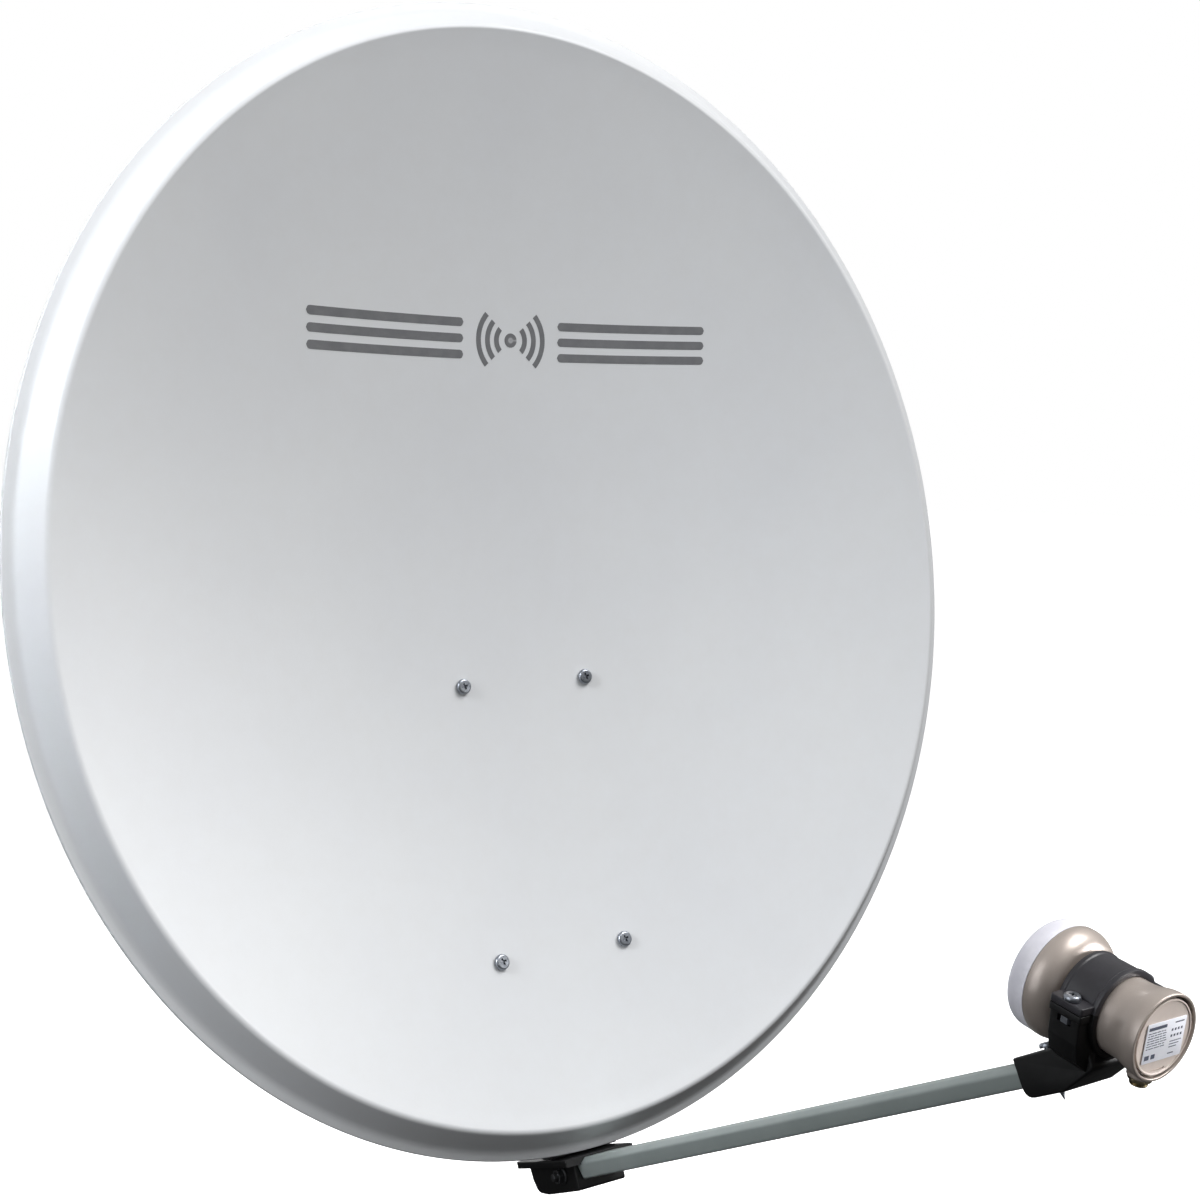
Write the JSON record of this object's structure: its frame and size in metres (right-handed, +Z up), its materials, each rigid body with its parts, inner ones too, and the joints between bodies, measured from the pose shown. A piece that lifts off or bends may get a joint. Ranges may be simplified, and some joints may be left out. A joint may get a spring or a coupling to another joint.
{
  "type": "satellite dish",
  "caption": "Offset satellite dish with a feed on a front arm, set in elevation by a slotted bracket and held on a mast by toothed clamp jaws.",
  "frame": {"origin": "on the axis of the mast the clamp grips, at the clamp's middle height", "axes": "+Z up along the mast, -Y the way the dish looks, +X to the right of someone who looks into the dish"},
  "size_m": [0.8, 0.7656, 0.9003],
  "materials": {
    "dish_paint": "satin powder coat",
    "galvanised": "matt galvanised",
    "zinc": "bright zinc plate",
    "arm_paint": "satin paint",
    "black_plastic": "fine matt grain",
    "black_steel": "satin black coat",
    "champagne": "satin metallic paint",
    "white_cap": "satin",
    "label_film": "semi-gloss film",
    "die_cast": "as cast",
    "board_green": "lacquered",
    "brass": "nickel-flashed"
  },
  "bodies": {
    "mast_clamp": {"mast_bracket": "galvanised", "elevation_pivot_bolt": "zinc", "elevation_pivot_nut": "zinc", "clamp_bolt_lower_left": "zinc", "clamp_bolt_upper_left": "zinc", "clamp_bolt_lower_right": "zinc", "clamp_bolt_upper_right": "zinc"},
    "upper_jaw": {"clamp_jaw_upper": "galvanised", "clamp_nut_upper_left": "zinc", "clamp_nut_upper_right": "zinc"},
    "lower_jaw": {"clamp_jaw_lower": "galvanised", "clamp_nut_lower_left": "zinc", "clamp_nut_lower_right": "zinc"},
    "dish": {"reflector": "dish_paint", "lnb_holder": "black_plastic", "back_frame": "black_steel", "arm_housing": "black_plastic", "feed_arm": "arm_paint", "elevation_ear_left": "galvanised", "elevation_ear_right": "galvanised", "holder_screw": "zinc", "reflector_screw_upper_left": "zinc", "reflector_screw_upper_right": "zinc", "reflector_screw_lower_left": "zinc", "reflector_screw_lower_right": "zinc", "standoff_upper_right": "black_plastic", "standoff_upper_left": "black_plastic", "standoff_lower_right": "black_plastic", "standoff_lower_left": "black_plastic", "reflector_nut_upper_left": "zinc", "reflector_nut_upper_right": "zinc", "reflector_nut_lower_left": "zinc", "reflector_nut_lower_right": "zinc", "carrier_nut": "zinc", "arm_nut": "black_steel", "ear_upper_nut": "zinc", "ear_lower_nut": "zinc", "elevation_lock_nut": "zinc", "carrier_bolt": "zinc", "arm_bolt": "black_steel", "ear_upper_bolt": "zinc", "ear_lower_bolt": "zinc", "elevation_lock_bolt": "zinc", "pivot_spacer": "galvanised", "strap_nut_left": "zinc", "strap_nut_right": "zinc"},
    "strap": {"clamp_strap": "black_plastic", "strap_screw_left": "zinc", "strap_screw_right": "zinc"},
    "lnb": {"lnb_rear_housing": "champagne", "lnb_rear_cover": "champagne", "lnb_label": "label_film", "lnb_front_shroud": "champagne", "feed_cap": "white_cap", "feed_horn": "die_cast", "circuit_board": "board_green", "coax_socket": "brass"}
  },
  "joints": [
    {"name": "elevation", "type": "hinge", "parent": "mast_clamp", "child": "dish", "pos_m": [0, -0.08, 0.024], "axis": [-1, 0, 0], "range_deg": [-20, 25]},
    {"name": "upper_jaw_slide", "type": "slide", "parent": "mast_clamp", "child": "upper_jaw", "axis": [0, 1, 0], "range_m": [-0.0208, 0.0115]},
    {"name": "lower_jaw_slide", "type": "slide", "parent": "mast_clamp", "child": "lower_jaw", "axis": [0, 1, 0], "range_m": [-0.0208, 0.0115]},
    {"name": "strap_lift", "type": "slide", "parent": "dish", "child": "strap", "axis": [0, -0.1839, 0.9829], "range_m": [0, 0.004]},
    {"name": "lnb_skew", "type": "hinge", "parent": "dish", "child": "lnb", "pos_m": [0, -0.71075, -0.00543], "axis": [0, -0.9829, -0.1839], "range_deg": [-60, 60]}
  ]
}
